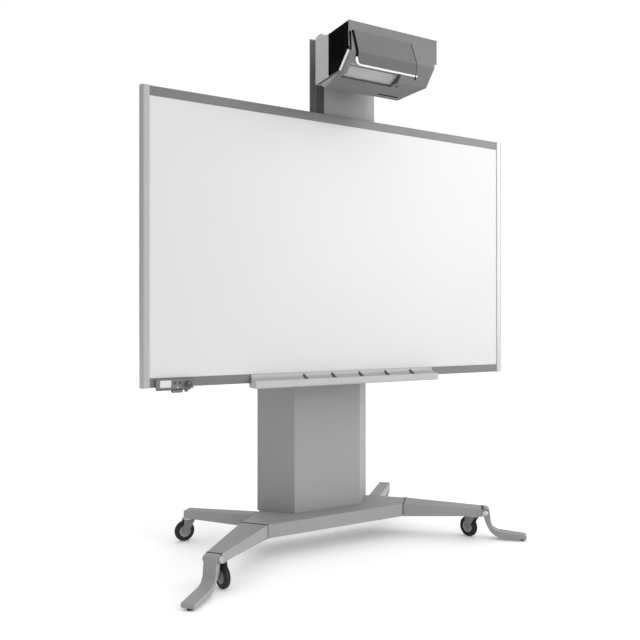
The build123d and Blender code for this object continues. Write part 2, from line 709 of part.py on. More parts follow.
divider_side = [(-5.6, 863.0), SCOOP[1], SCOOP[2], (-41.0, 841.0 - 11.0 * 3.0 / 18.0)]
divider_front = [(-DIVIDER_FOOT / 2, 838), (DIVIDER_FOOT / 2, 838), (DIVIDER_TOP / 2, 863),
                 (-DIVIDER_TOP / 2, 863)]
with BuildPart() as divider:
    add(prism(section(), divider_side, DIVIDER_FOOT, both=True))
    add(prism(facing(), divider_front, 60), mode=Mode.INTERSECT)
with BuildPart() as tray_dividers:
    for x in DIVIDER_X:
        with Locations((x, 0, 0)):
            add(divider.part)
save(tray_dividers.part, "tray_dividers")


# ---------------------------------------------------------------- control box
CONTROL_X = (-926.0, -766.0)
CONTROL_Y = (-14.0, 0.0)
CONTROL_Z = (821.0, 863.0)
CONTROL_UNDER_Z = (808.0, BOARD_BOTTOM)
KNOB_AT = (-790.0, 839.0)
KNOB_R = 14.0
KNOB_H = 17.0
SHAFT_R = 3.0
BUTTONS = {"power_button": -846.0, "input_button": -824.0}
BUTTON_Z = 846.0
BUTTON_R = 5.0
BUTTON_PROUD = 2.5
BUTTON_IN = 6.0
with BuildPart() as control_box:
    block(CONTROL_X, CONTROL_Y, CONTROL_Z)
    fillet(control_box.edges().filter_by(Axis.Y), 4)
    chamfer(control_box.faces().sort_by(Axis.Y)[0].edges(), 1)
    block((CONTROL_X[0] + 8, CONTROL_X[1] - 8), (-2, 22), (CONTROL_UNDER_Z[0] + 6, BOARD_BOTTOM))
    with BuildSketch(facing(CONTROL_Y[0])):
        with Locations(KNOB_AT):
            Circle(SHAFT_R)
        for x in BUTTONS.values():
            with Locations((x, BUTTON_Z)):
                Circle(BUTTON_R + 0.3)
    extrude(amount=-BUTTON_IN - 2, mode=Mode.SUBTRACT)
save(control_box.part, "control_box")

with BuildPart() as volume_knob:
    with BuildSketch(facing(CONTROL_Y[0] - 0.5)):
        with Locations(KNOB_AT):
            Circle(KNOB_R)
    extrude(amount=KNOB_H)
    chamfer(volume_knob.faces().sort_by(Axis.Y)[0].edges(), 1.5)
    with BuildSketch(facing(CONTROL_Y[0] - 0.5)):
        with Locations(KNOB_AT):
            Circle(SHAFT_R - RUN_GAP)
    extrude(amount=-7)
save(volume_knob.part, "volume_knob")

for label, x in BUTTONS.items():
    with BuildPart() as button:
        with BuildSketch(facing(CONTROL_Y[0] - BUTTON_PROUD)):
            with Locations((x, BUTTON_Z)):
                Circle(BUTTON_R)
        extrude(amount=-BUTTON_PROUD - BUTTON_IN)
        fillet(button.faces().sort_by(Axis.Y)[0].edges(), 0.6)
    save(button.part, label)

with BuildPart() as control_ports:
    block((-856, -812), (-10, 14), (804, CONTROL_UNDER_Z[0] + 6))
    block((-800, -788), (-8, 8), (806, CONTROL_UNDER_Z[0] + 6))
save(control_ports.part, "control_ports")


# ---------------------------------------------------------------- projector
BEND = (PROJ_FRONT, PROJ_BEND_Z)
PAN_TOP = 2160.0
hood_outline = [(PROJ_FRONT, PROJ_TOP), BEND, PROJ_CHIN, PROJ_TAIL, (PROJ_REAR, PAN_TOP),
                (PROJ_REAR, PROJ_TOP)]


def projector_slice(half, inset=0.0):
    """Body of the projector, or its hollow when inset by the wall."""
    with BuildPart() as body:
        with BuildSketch(section()):
            with BuildLine():
                Polyline(*hood_outline, close=True)
            make_face()
            if inset:
                offset(amount=-inset, mode=Mode.REPLACE)
        extrude(amount=half, both=True)
        for side in (-1, 1):
            wedge = [(side * half, PROJ_CHIN[0]), (side * half, PROJ_REAR),
                     (side * (half - PROJ_TAIL_IN), PROJ_REAR)]
            add(prism(level(PROJ_TAIL[1] - 10), wedge, PAN_TOP - PROJ_TAIL[1] + 10), mode=Mode.SUBTRACT)
    return body.part


WINDOW_Y = (-372.0, -266.0)
WINDOW_Z = (2120.0, 2185.0)
with BuildPart() as projector_shell:
    add(projector_slice(PROJ_HALF))
    add(projector_slice(PROJ_HALF - PROJ_WALL, PROJ_WALL), mode=Mode.SUBTRACT)
    block((-PROJ_HALF, PROJ_HALF), (PROJ_SPLIT_Y, PROJ_REAR), (PAN_TOP, PROJ_TOP), mode=Mode.SUBTRACT)
    block(WINDOW_X, WINDOW_Y, WINDOW_Z, mode=Mode.SUBTRACT)
save(projector_shell.part, "projector_shell")

REAR_HALF = PROJ_HALF + VENT_T
rear_outline = [(PROJ_SPLIT_Y, PROJ_TOP), (-175, 2352), (-146, 2373), (-114, 2373), (PROJ_REAR, 2366),
                (PROJ_REAR, PAN_TOP), (PROJ_SPLIT_Y, PAN_TOP)]
with BuildPart() as projector_rear_cover:
    add(prism(section(), rear_outline, REAR_HALF, both=True))
    block((-REAR_HALF + PROJ_WALL, REAR_HALF - PROJ_WALL), (PROJ_SPLIT_Y - 1, PROJ_REAR - PROJ_WALL),
          (PAN_TOP - 1, PROJ_TOP - PROJ_WALL), mode=Mode.SUBTRACT)
save(projector_rear_cover.part, "projector_rear_cover")

VENT_SLOTS = 9
VENT_SLOT_DEPTH = 5.0
vent_outline = [(-383, 2345), (-383, 2300), (-366, 2232), (-294, 2167), (PROJ_SPLIT_Y, 2169),
                (PROJ_SPLIT_Y, 2345)]
with BuildPart() as side_vent:
    add(prism(section(PROJ_HALF), vent_outline, VENT_T))
    for row in range(VENT_SLOTS):
        slot_z = 2210 + row * 14
        block((REAR_HALF - VENT_SLOT_DEPTH, REAR_HALF), (-345, -235), (slot_z, slot_z + 7),
              mode=Mode.SUBTRACT)
with BuildPart() as side_vents:
    add(side_vent.part)
    add(mirror(side_vent.part, about=Plane.YZ))
save(side_vents.part, "side_vent_panels")

slope_len = math.hypot(PROJ_CHIN[0] - BEND[0], PROJ_CHIN[1] - BEND[1])
slope = ((PROJ_CHIN[0] - BEND[0]) / slope_len, (PROJ_CHIN[1] - BEND[1]) / slope_len)


def on_slope(along, out):
    """Point on the sloping front, at a distance below the bend and proud of it."""
    return (BEND[0] + slope[0] * along + slope[1] * out, BEND[1] + slope[1] * along - slope[0] * out)


def beside_bend(out):
    """Corner of a panel that stands proud of both front faces by the same amount."""
    return BEND[0] - out, BEND[1] - out * (1 + slope[1]) / slope[0]


DOOR_GAP = 0.5
DOOR_TOP = 2303.0
DOOR_DROP = 45.0
door_profile = [(PROJ_FRONT - DOOR_GAP, DOOR_TOP), beside_bend(DOOR_GAP), on_slope(DOOR_DROP, DOOR_GAP),
                on_slope(DOOR_DROP, DOOR_GAP + DOOR_T), beside_bend(DOOR_GAP + DOOR_T),
                (PROJ_FRONT - DOOR_GAP - DOOR_T, DOOR_TOP)]
door_outline = [(-205, DOOR_TOP), (83, DOOR_TOP), (114, PROJ_BEND_Z), (140, 2170), (-130, 2170),
                (-168, 2196), (-181, 2216)]
with BuildPart() as front_door:
    add(prism(section(), door_profile, PROJ_HALF, both=True))
    add(prism(facing(PROJ_FRONT + 60), door_outline, 120), mode=Mode.INTERSECT)
save(front_door.part, "front_door")

TRIM_T = 3.0
trim_profile = [on_slope(DOOR_DROP + 1.5, 0), on_slope(DOOR_DROP + 9.5, 0),
                on_slope(DOOR_DROP + 9.5, TRIM_T), on_slope(DOOR_DROP + 1.5, TRIM_T)]
side_trim_outline = [(-367.5, 2231), (-295.5, 2166), (-305, 2160), (-376, 2224)]
with BuildPart() as projector_trim:
    add(prism(section(-130), trim_profile, 276))
    for x in (PROJ_HALF, -PROJ_HALF - TRIM_T * 2):
        add(prism(section(x), side_trim_outline, TRIM_T * 2))
save(projector_trim.part, "projector_trim")

WINDOW_T = 3.0
pane_profile = [(-346, 2192), (-262, 2156), (-263.2, 2153.2), (-347.2, 2189.2)]
with BuildPart() as projection_window:
    add(prism(section(WINDOW_X[0] - 6), pane_profile, WINDOW_X[1] - WINDOW_X[0] + 12))
save(projection_window.part, "projection_window")

mirror_profile = [(-330, 2320), (-250, 2250), (-252.6, 2247), (-332.6, 2317)]
with BuildPart() as projection_mirror:
    add(prism(section(WINDOW_X[0]), mirror_profile, WINDOW_X[1] - WINDOW_X[0]))
save(projection_mirror.part, "projection_mirror")

LENS_R = 32.0
with BuildPart() as light_engine:
    block((-190, 190), (-232, -110), (2180, 2320))
    fillet(light_engine.edges().filter_by(Axis.X), 6)
    with BuildSketch(facing(-232)):
        with Locations((-67, 2245)):
            Circle(LENS_R)
    extrude(amount=16, taper=6)
save(light_engine.part, "light_engine")

BOOM_X = 58.0
BOOM_Z = (2216.0, 2304.0)
BOOM_WALL = 4.0
with BuildPart() as projector_boom:
    block((-BOOM_X, BOOM_X), (PROJ_REAR, MAST_Y[0] - 6), BOOM_Z)
    block((-BOOM_X - 24, BOOM_X + 24), (MAST_Y[0] - 6, MAST_Y[0]), (BOOM_Z[0] - 4, BOOM_Z[1] + 24))
    block((-BOOM_X + BOOM_WALL, BOOM_X - BOOM_WALL), (PROJ_REAR, MAST_Y[0]),
          (BOOM_Z[0] + BOOM_WALL, BOOM_Z[1] - BOOM_WALL), mode=Mode.SUBTRACT)
save(projector_boom.part, "projector_boom")
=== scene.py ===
"""Looks of the rolling projector whiteboard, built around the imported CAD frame. Metres, +Z up."""
import json
import math

import bmesh
import bpy
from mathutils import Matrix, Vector


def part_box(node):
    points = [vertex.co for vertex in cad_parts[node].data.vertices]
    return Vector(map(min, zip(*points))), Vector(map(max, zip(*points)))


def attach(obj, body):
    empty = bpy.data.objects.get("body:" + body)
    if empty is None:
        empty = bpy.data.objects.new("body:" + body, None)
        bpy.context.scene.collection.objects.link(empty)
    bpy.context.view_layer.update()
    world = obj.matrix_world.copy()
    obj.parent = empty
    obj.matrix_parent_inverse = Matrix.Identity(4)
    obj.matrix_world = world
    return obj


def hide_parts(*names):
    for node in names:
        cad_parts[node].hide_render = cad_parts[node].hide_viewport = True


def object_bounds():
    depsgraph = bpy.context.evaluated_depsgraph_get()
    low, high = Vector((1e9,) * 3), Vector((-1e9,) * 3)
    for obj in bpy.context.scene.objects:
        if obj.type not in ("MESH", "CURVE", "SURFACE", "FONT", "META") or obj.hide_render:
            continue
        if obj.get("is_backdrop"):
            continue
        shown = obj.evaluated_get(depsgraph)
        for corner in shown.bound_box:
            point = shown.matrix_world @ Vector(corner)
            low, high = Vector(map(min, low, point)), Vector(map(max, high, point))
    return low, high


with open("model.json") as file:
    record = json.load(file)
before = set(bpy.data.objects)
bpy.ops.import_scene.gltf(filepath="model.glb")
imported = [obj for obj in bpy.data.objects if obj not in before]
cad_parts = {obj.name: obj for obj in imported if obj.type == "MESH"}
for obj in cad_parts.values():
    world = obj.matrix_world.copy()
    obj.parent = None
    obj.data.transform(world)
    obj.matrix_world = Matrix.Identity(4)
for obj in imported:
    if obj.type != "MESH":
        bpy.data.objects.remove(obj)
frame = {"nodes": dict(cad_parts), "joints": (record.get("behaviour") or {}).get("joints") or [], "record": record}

lo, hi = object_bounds()
scene = bpy.context.scene
nodes = frame["nodes"]
joints = {j["name"]: j for j in frame["joints"]}
CORNERS = ("front_left", "front_right", "rear_left", "rear_right")


# ---------------------------------------------------------------- camera, floor and light
camera_data = bpy.data.cameras.new("camera")
camera_data.sensor_width = 36.0
camera_data.lens = 39.375
camera = bpy.data.objects.new("camera", camera_data)
camera.location = (-1.73775, -2.9435, 1.107)
camera.rotation_euler = (math.radians(90), 0, math.radians(-29.18))
scene.collection.objects.link(camera)
scene.camera = camera
scene.view_settings.view_transform = "Standard"
scene.view_settings.look = "None"


def add_object(name, mesh):
    obj = bpy.data.objects.new(name, mesh)
    scene.collection.objects.link(obj)
    return obj


def nodes_of(material):
    """A cleared node tree with its output, ready to be filled."""
    material.use_nodes = True
    tree = material.node_tree
    tree.nodes.clear()
    return tree, tree.nodes.new("ShaderNodeOutputMaterial")


FLOOR_HALF = 40.0
FLOOR_GLOW = 0.11             # a studio floor lit from below, which keeps its shadows light
floor_mesh = bpy.data.meshes.new("studio_floor")
floor_mesh.from_pydata([(-FLOOR_HALF, -FLOOR_HALF, 0), (FLOOR_HALF, -FLOOR_HALF, 0),
                        (FLOOR_HALF, FLOOR_HALF, 0), (-FLOOR_HALF, FLOOR_HALF, 0)], [], [(0, 1, 2, 3)])
floor = add_object("studio_floor", floor_mesh)
floor.location.z = lo.z - 0.0005
floor_material = bpy.data.materials.new("studio_floor")
tree, out = nodes_of(floor_material)
floor_shader = tree.nodes.new("ShaderNodeBsdfPrincipled")
floor_shader.inputs["Base Color"].default_value = (0.97, 0.97, 0.97, 1)
floor_shader.inputs["Roughness"].default_value = 0.7
floor_shader.inputs["Specular IOR Level"].default_value = 0.2
floor_shader.inputs["Emission Color"].default_value = (1, 1, 1, 1)
floor_shader.inputs["Emission Strength"].default_value = FLOOR_GLOW
tree.links.new(floor_shader.outputs[0], out.inputs[0])
floor_mesh.materials.append(floor_material)
floor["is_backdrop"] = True

world = bpy.data.worlds.new("studio")
scene.world = world
world.use_nodes = True
tree = world.node_tree
tree.nodes.clear()
out = tree.nodes.new("ShaderNodeOutputWorld")
ambient = tree.nodes.new("ShaderNodeBackground")
backdrop = tree.nodes.new("ShaderNodeBackground")
backdrop.inputs["Color"].default_value = (1, 1, 1, 1)
backdrop.inputs["Strength"].default_value = 1.0
coords = tree.nodes.new("ShaderNodeTexCoord")
BASE_LIGHT = 0.55
# direction the light comes from, cosine where it starts and where it is full, strength
SOFT_LIGHTS = (((0.10, -0.05, 1.0), 0.0, 0.95, 0.95),
               ((0.75, -0.66, 0.16), 0.88, 0.96, 5.0))
total = None
for direction, edge, full, strength in SOFT_LIGHTS:
    toward = tree.nodes.new("ShaderNodeVectorMath")
    toward.operation = "DOT_PRODUCT"
    toward.inputs[1].default_value = Vector(direction).normalized()
    tree.links.new(coords.outputs["Generated"], toward.inputs[0])
    lobe = tree.nodes.new("ShaderNodeMapRange")
    lobe.interpolation_type = "SMOOTHSTEP"
    for key, number in (("From Min", edge), ("From Max", full), ("To Min", 0.0), ("To Max", strength)):
        lobe.inputs[key].default_value = number
    tree.links.new(toward.outputs["Value"], lobe.inputs["Value"])
    add = tree.nodes.new("ShaderNodeMath")
    add.inputs[1].default_value = BASE_LIGHT
    tree.links.new(lobe.outputs["Result"], add.inputs[0])
    if total:
        tree.links.new(total, add.inputs[1])
    total = add.outputs[0]
tree.links.new(total, ambient.inputs["Strength"])
path = tree.nodes.new("ShaderNodeLightPath")
choose = tree.nodes.new("ShaderNodeMixShader")
tree.links.new(path.outputs["Is Camera Ray"], choose.inputs[0])
tree.links.new(ambient.outputs[0], choose.inputs[1])
tree.links.new(backdrop.outputs[0], choose.inputs[2])
tree.links.new(choose.outputs[0], out.inputs[0])


# ---------------------------------------------------------------- materials
class Finish:
    """A procedural material: base colour, patchy tone, fine bump, optional streaks, worn edges and darker hollows.
    """

    def __init__(self, name, tone, roughness=0.45, metallic=0.0, specular=0.5):
        self.material = bpy.data.materials.new(name)
        self.tree, out = nodes_of(self.material)
        self.shader = self.tree.nodes.new("ShaderNodeBsdfPrincipled")
        self.tree.links.new(self.shader.outputs[0], out.inputs[0])
        color = (tone, tone, tone) if isinstance(tone, float) else tone
        self.color = self.tree.nodes.new("ShaderNodeRGB")
        self.color.outputs[0].default_value = (*color, 1)
        self.tone = self.color.outputs[0]
        self.shader.inputs["Roughness"].default_value = roughness
        self.shader.inputs["Metallic"].default_value = metallic
        self.shader.inputs["Specular IOR Level"].default_value = specular
        self.tree.links.new(self.tone, self.shader.inputs["Base Color"])
        self.roughness = roughness
        self.normal = None

    def noise(self, scale, detail=3.0, stretch=(1, 1, 1)):
        coords = self.tree.nodes.new("ShaderNodeTexCoord")
        mapping = self.tree.nodes.new("ShaderNodeMapping")
        mapping.inputs["Scale"].default_value = stretch
        texture = self.tree.nodes.new("ShaderNodeTexNoise")
        texture.inputs["Scale"].default_value = scale
        texture.inputs["Detail"].default_value = detail
        self.tree.links.new(coords.outputs["Object"], mapping.inputs["Vector"])
        self.tree.links.new(mapping.outputs["Vector"], texture.inputs["Vector"])
        return texture.outputs["Fac"]

    def ranged(self, value, low, high, start=0.3, end=0.7):
        node = self.tree.nodes.new("ShaderNodeMapRange")
        for key, number in (("From Min", start), ("From Max", end), ("To Min", low), ("To Max", high)):
            node.inputs[key].default_value = number
        self.tree.links.new(value, node.inputs["Value"])
        return node.outputs["Result"]

    def times(self, factor):
        """Multiplies the colour so far by a grey value."""
        node = self.tree.nodes.new("ShaderNodeVectorMath")
        node.operation = "SCALE"
        self.tree.links.new(self.tone, node.inputs[0])
        self.tree.links.new(factor, node.inputs["Scale"])
        self.tone = node.outputs[0]
        self.tree.links.new(self.tone, self.shader.inputs["Base Color"])
        return self

    def patchy(self, scale=3.0, amount=0.03, gloss=0.05):
        """Slow variation of tone and gloss over the surface."""
        slow = self.noise(scale, 4.0)
        self.times(self.ranged(slow, 1 - amount, 1 + amount))
        rough = self.ranged(slow, self.roughness + gloss, self.roughness - gloss)
        self.tree.links.new(rough, self.shader.inputs["Roughness"])
        return self

    def bump(self, scale, depth, stretch=(1, 1, 1), detail=2.0):
        node = self.tree.nodes.new("ShaderNodeBump")
        node.inputs["Strength"].default_value = 1.0
        node.inputs["Distance"].default_value = depth
        self.tree.links.new(self.noise(scale, detail, stretch), node.inputs["Height"])
        if self.normal:
            self.tree.links.new(self.normal, node.inputs["Normal"])
        self.normal = node.outputs["Normal"]
        self.tree.links.new(self.normal, self.shader.inputs["Normal"])
        return self

    def speckle(self, scale, amount):
        """Fine grain in the colour, as in powder coat or moulded plastic."""
        return self.times(self.ranged(self.noise(scale, 1.0), 1 - amount, 1 + amount))

    def streaks(self, scale, stretch, amount, depth=0.0):
        """Long fine lines, as on extruded or brushed metal."""
        self.times(self.ranged(self.noise(scale, 2.0, stretch), 1 - amount, 1 + amount))
        if depth:
            self.bump(scale, depth, stretch)
        return self

    def worn_edges_dark_hollows(self, amount=0.12):
        """Edges a little lighter where handling polishes them, and hollows a little darker by the surface's
        pointiness.
        """
        geometry = self.tree.nodes.new("ShaderNodeNewGeometry")
        return self.times(self.ranged(geometry.outputs["Pointiness"], 1 - amount, 1 + amount, 0.44, 0.56))

    def coat(self, weight, roughness):
        self.shader.inputs["Coat Weight"].default_value = weight
        self.shader.inputs["Coat Roughness"].default_value = roughness
        return self


def powder_coat(name, tone, roughness=0.5):
    made = Finish(name, tone, roughness, specular=0.4).patchy(2.5, 0.025).speckle(700, 0.03)
    return made.bump(900, 0.00012).worn_edges_dark_hollows(0.10).material


def moulded(name, tone, roughness=0.55):
    made = Finish(name, tone, roughness, specular=0.35).patchy(5.0, 0.03).speckle(1300, 0.035)
    return made.bump(1500, 0.00010).worn_edges_dark_hollows(0.08).material


def extruded(name, tone, stretch, roughness=0.38, metallic=0.55):
    made = Finish(name, tone, roughness, metallic).patchy(2.0, 0.02, 0.03)
    return made.streaks(420, stretch, 0.05, 0.00004).worn_edges_dark_hollows(0.08).material


ALONG_X = (0.02, 1, 1)
ALONG_Z = (1, 1, 0.02)
rubber = Finish("tyre_rubber", 0.011, 0.62, specular=0.3).patchy(30, 0.25, 0.08)
rubber.speckle(900, 0.2).bump(700, 0.0002).worn_edges_dark_hollows(0.3)
pad_rubber = Finish("pad_rubber", 0.02, 0.7, specular=0.3).patchy(40, 0.2).bump(900, 0.0002)
board_face = Finish("board_enamel", (0.575, 0.575, 0.58), 0.31, specular=0.75)
board_face.patchy(1.3, 0.006, 0.03).bump(2600, 0.00002)
core = Finish("panel_back", 0.30, 0.6, specular=0.3).patchy(4, 0.04).streaks(260, ALONG_Z, 0.05, 0.00005)
steel = Finish("zinc_steel", 0.52, 0.30, 1.0).patchy(25, 0.06).streaks(900, (1, 1, 0.1), 0.06, 0.00003)
bronze = Finish("nut_bronze", (0.55, 0.38, 0.17), 0.34, 1.0).patchy(30, 0.08).streaks(500, (1, 1, 0.1), 0.06)
mirror_finish = Finish("mirror_silver", 0.86, 0.03, 1.0).patchy(6, 0.01, 0.01)
glass = Finish("window_glass", (0.94, 0.95, 0.96), 0.06).patchy(8, 0.01, 0.02)
glass.shader.inputs["Alpha"].default_value = 0.28
white_gloss = Finish("trim_white", 0.90, 0.22).patchy(8, 0.01, 0.03).bump(1400, 0.00003).coat(0.4, 0.1)
vent = Finish("vent_black", 0.004, 0.9, specular=0.03).patchy(12, 0.15)
vent.speckle(1200, 0.15).bump(1300, 0.00012)
engine = Finish("engine_black", 0.05, 0.5).patchy(12, 0.1).bump(900, 0.0001)

FINISHES = {
    "frame_grey": powder_coat("frame_coat", 0.255),
    "cover_grey": powder_coat("cover_coat", 0.262),
    # mast_grey's very dark coat is painted shade: it darkens the cover on the mast's left wing, which lies in
    # shade
    "mast_grey": powder_coat("mast_coat", 0.075),
    "cap_grey": moulded("cap_plastic", 0.22),
    "bracket_black": powder_coat("bracket_coat", 0.03),
    "lift_steel": extruded("lift_aluminium", 0.36, ALONG_Z, 0.40, 0.6),
    "bright_steel": steel.material,
    "nut_bronze": bronze.material,
    "fork_grey": powder_coat("fork_coat", 0.18),
    "hub_grey": moulded("hub_plastic", 0.42),
    "tyre_black": rubber.material,
    "pad_rubber": pad_rubber.material,
    "board_white": board_face.material,
    "panel_core": core.material,
    "rail_grey": extruded("rail_aluminium", 0.14, ALONG_X, 0.42, 0.35),
    "stile_silver": extruded("stile_aluminium", 0.36, ALONG_Z),
    "tray_silver": extruded("tray_aluminium", 0.36, ALONG_X, 0.45, 0.15),
    # the dividers' dark tone is painted shade: it stands in for their shaded sides
    "divider_grey": moulded("divider_plastic_painted_shade", 0.07),
    "tray_cap": moulded("tray_cap_plastic", 0.42),
    "control_dark": moulded("control_plastic", 0.14),
    "button_black": moulded("button_plastic", 0.06),
    "projector_grey": moulded("projector_plastic", 0.155),
    "projector_light": moulded("rear_plastic", 0.40),
    "vent_black": vent.material,
    "door_grey": moulded("door_plastic", 0.122),
    "trim_white": white_gloss.material,
    "window_glass": glass.material,
    "mirror_silver": mirror_finish.material,
    "engine_dark": engine.material,
}


# ---------------------------------------------------------------- CAD nodes: finish and softened edges
SOFTENED = {
    "base_beam": 1.6, "front_leg_left": 1.6, "front_leg_right": 1.6, "rear_leg_left": 1.6,
    "rear_leg_right": 1.6, "column_cover": 0.9, "column_back_panel": 0.6,
    "mast_front_shell": 0.7, "mast_back_cover": 0.6, "projector_shell": 1.4,
    "projector_rear_cover": 2.2, "side_vent_panels": 0.6, "front_door": 1.0, "projector_trim": 0.6,
    "pen_tray": 0.5, "tray_end_caps": 1.0, "tray_dividers": 0.5, "control_box": 0.4, "control_ports": 0.6,
    "carriage_bracket": 1.0, "board_brackets": 0.9, "projector_boom": 0.9,
    "side_stile_left": 0.8, "side_stile_right": 0.8, "top_rail": 0.4, "bottom_rail": 0.4,
    "foot_arm_left": 1.2, "foot_arm_right": 1.2,
}


def soften(obj, width):
    """Rounds a prismatic piece's edges a little, as moulding and coating do, without changing its mesh."""
    weld = obj.modifiers.new("weld", "WELD")
    weld.merge_threshold = 0.00002
    flat = obj.modifiers.new("flat", "DECIMATE")
    flat.decimate_type = "DISSOLVE"
    flat.angle_limit = math.radians(0.6)
    bevel = obj.modifiers.new("bevel", "BEVEL")
    bevel.width = width / 1000
    bevel.segments = 2
    bevel.limit_method = "ANGLE"
    bevel.angle_limit = math.radians(28)
    bevel.use_clamp_overlap = True
    shade = obj.modifiers.new("shade", "WEIGHTED_NORMAL")
    shade.keep_sharp = True
    shade.weight = 80


slots = {row["node"]: row["material_slot"] for row in frame["record"]["subparts"]}
for name, obj in nodes.items():
    obj.data.materials.clear()
    obj.data.materials.append(FINISHES[slots[name]])
    if name in SOFTENED:
        with bpy.context.temp_override(object=obj, active_object=obj, selected_objects=[obj]):
            bpy.ops.mesh.customdata_custom_splitnormals_clear()
        obj.data.polygons.foreach_set("use_smooth", [True] * len(obj.data.polygons))
        soften(obj, SOFTENED[name])


# ---------------------------------------------------------------- helpers for new pieces
def make(name, build, slot, body, replaced=()):
    """A new piece from a bmesh builder, finished, named and riding on its body."""
    bm = bmesh.new()
    build(bm)
    bmesh.ops.recalc_face_normals(bm, faces=bm.faces)
    mesh = bpy.data.meshes.new(name)
    bm.to_mesh(mesh)
    bm.free()
    obj = add_object(name, mesh)
    mesh.materials.append(FINISHES[slot])
    if replaced:
        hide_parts(*replaced)
    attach(obj, body)
    return obj


def smooth(obj, angle=35):
    """Smooth shading that keeps edges sharper than the angle."""
    obj.data.shade_smooth()
    obj.data.set_sharp_from_angle(angle=math.radians(angle))
    return obj


def across(axis):
    """Two unit vectors square to the axis."""
    axis = Vector(axis).normalized()
    side = axis.cross(Vector((0, 0, 1)))
    if side.length < 0.1:
        side = axis.cross(Vector((0, 1, 0)))
    side.normalize()
    return side, axis.cross(side).normalized()


def hexagon(turn, flat):
    """Radius of a hexagon with that distance to its flats, at that angle."""
    sector = math.radians(60)
    return flat / math.cos((turn % sector) - sector / 2)


def revolve(bm, profile, centre, axis, steps=48, closed=False):
    """Surface of revolution: profile is (radius, height) pairs; a negative radius is a hexagon's flat."""
    centre, axis = Vector(centre), Vector(axis).normalized()
    side, up = across(axis)
    rings = []
    for radius, height in profile:
        if radius == 0:
            rings.append([bm.verts.new(centre + axis * height)])
            continue
        ring = []
        for k in range(steps):
            turn = 2 * math.pi * k / steps
            r = hexagon(turn, -radius) if radius < 0 else radius
            spoke = side * math.cos(turn) + up * math.sin(turn)
            ring.append(bm.verts.new(centre + axis * height + spoke * r))
        rings.append(ring)
    pairs = list(zip(rings, rings[1:])) + ([(rings[-1], rings[0])] if closed else [])
    for a, b in pairs:
        for k in range(steps):
            n = (k + 1) % steps
            loop = [a[k % len(a)], a[n % len(a)], b[n % len(b)], b[k % len(b)]]
            corners = list(dict.fromkeys(loop))
            if len(corners) > 2:
                bm.faces.new(corners)


def brick(bm, low, high):
    """Axis-aligned box between two corners."""
    made = bmesh.ops.create_cube(bm, size=1.0)["verts"]
    low, high = Vector(low), Vector(high)
    for v in made:
        v.co = Vector(((low[i] + high[i]) / 2 + v.co[i] * (high[i] - low[i])) for i in range(3))
    return made


def capped(bm, rings):
    """Solid skin through rings of vertices, closed at both ends."""
    for a, b in zip(rings, rings[1:]):
        for k in range(len(a)):
            n = (k + 1) % len(a)
            bm.faces.new((a[k], a[n], b[n], b[k]))
    bm.faces.new(rings[0])
    bm.faces.new(rings[-1][::-1])


def rounded_plate(bm, centre, size, radius, thick, out=(0, -1, 0), steps=5):
    """Thin plate with round corners; its outer face stands proud along out, and it lies square to it."""
    across_x, up = Vector((1, 0, 0)), Vector((0, 0, 1))
    out = Vector(out)
    rim = []
    for cx, cz, start in ((1, 1, 0), (-1, 1, 90), (-1, -1, 180), (1, -1, 270)):
        for k in range(steps + 1):
            turn = math.radians(start + 90 * k / steps)
            rim.append((cx * (size[0] / 2 - radius) + radius * math.cos(turn),
                        cz * (size[1] / 2 - radius) + radius * math.sin(turn)))
    layers = []
    for inset, height in ((0, 0), (0, thick * 0.7), (thick * 0.3, thick)):
        layer = []
        for x, z in rim:
            scale = Vector((x * (1 - 2 * inset / size[0]), z * (1 - 2 * inset / size[1])))
            layer.append(bm.verts.new(Vector(centre) + across_x * scale.x + up * scale.y + out * height))
        layers.append(layer)
    capped(bm, layers)


# ---------------------------------------------------------------- wheels
TYRE = [(0.0280, -0.0112), (0.0288, -0.0126), (0.0400, -0.0130), (0.0452, -0.0124), (0.0482, -0.0102),
        (0.0496, -0.0072), (0.0500, -0.0046), (0.0494, -0.0042), (0.0494, -0.0034), (0.0500, -0.0030),
        (0.0500, 0.0030), (0.0494, 0.0034), (0.0494, 0.0042), (0.0500, 0.0046), (0.0496, 0.0072),
        (0.0482, 0.0102), (0.0452, 0.0124), (0.0400, 0.0130), (0.0288, 0.0126), (0.0280, 0.0112)]
HUB_SIDE = [(0.0042, 0.0126), (0.0082, 0.0126), (0.0096, 0.0118), (0.0104, 0.0064), (0.0120, 0.0052),
            (0.0206, 0.0046), (0.0228, 0.0062), (0.0236, 0.0108), (0.0248, 0.0120), (0.0270, 0.0120),
            (0.0280, 0.0110)]
SPOKES = 6
SPOKE_ROOT, SPOKE_TIP = 0.0098, 0.0236
SPOKE_TAPER = 12              # share of a spoke's width lost per metre along it
for corner in CORNERS:
    roll = joints[f"roll_{corner}"]
    centre, axis = Vector(roll["pos_m"]), Vector(roll["axis"]).normalized()
    side, up = across(axis)

    def build_tyre(bm):
        revolve(bm, TYRE, centre, axis, steps=72, closed=True)

    def build_hub(bm):
        profile = HUB_SIDE + [(r, -h) for r, h in reversed(HUB_SIDE)]
        revolve(bm, profile, centre, axis, steps=60, closed=True)
        for k in range(SPOKES):
            turn = 2 * math.pi * k / SPOKES
            along = side * math.cos(turn) + up * math.sin(turn)
            wide = axis.cross(along)
            for v in brick(bm, (SPOKE_ROOT, -0.0011, -0.0098), (SPOKE_TIP, 0.0011, 0.0098)):
                x, y, z = v.co
                v.co = centre + along * x + wide * y + axis * z * (1 - SPOKE_TAPER * (x - SPOKE_ROOT))

    wheel = f"wheel_{corner}"
    smooth(make(f"tyre_tread_{corner}", build_tyre, "tyre_black", wheel, [f"tyre_{corner}"]), 50)
    smooth(make(f"wheel_centre_{corner}", build_hub, "hub_grey", wheel, [f"wheel_hub_{corner}"]), 35)


